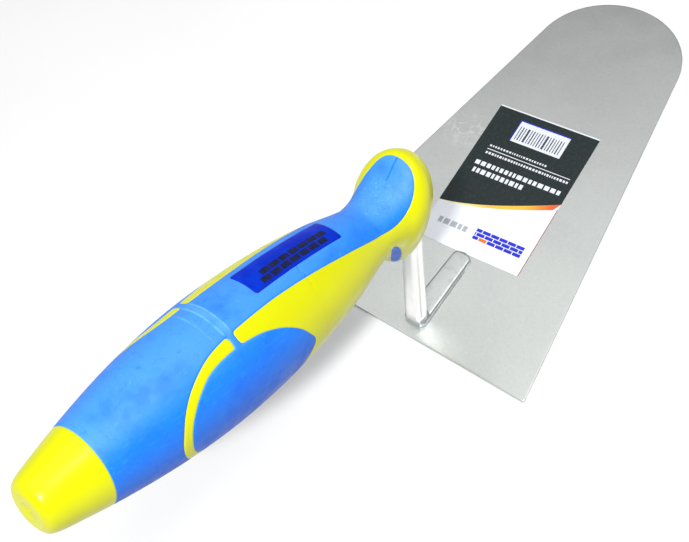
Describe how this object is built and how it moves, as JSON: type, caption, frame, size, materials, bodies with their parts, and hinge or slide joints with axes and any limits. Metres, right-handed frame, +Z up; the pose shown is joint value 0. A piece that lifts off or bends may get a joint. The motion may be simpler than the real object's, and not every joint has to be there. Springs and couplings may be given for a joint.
{
  "type": "brick trowel",
  "caption": "Round-toe brick trowel: flat steel blade on a welded cranked shank, with a contoured two-material handle and finger guard.",
  "frame": {"origin": "middle of the heel edge, on the underside of the blade", "axes": "+X along the blade towards the toe, +Y to the left when looking at the toe, +Z up from the blade towards the handle"},
  "size_m": [0.3062, 0.106, 0.1295],
  "materials": {
    "blade_steel": "satin",
    "forged_steel": "polished satin",
    "weld_metal": "satin",
    "yellow_plastic": "gloss",
    "blue_soft_plastic": "semi-matt",
    "badge_foil": "semi-gloss",
    "label_paper": "coated paper"
  },
  "bodies": {
    "root": {"blade": "blade_steel", "shank": "forged_steel", "foot_weld": "weld_metal", "handle_core": "yellow_plastic", "grip": "blue_soft_plastic", "badge": "badge_foil", "blade_label": "label_paper"}
  },
  "joints": []
}
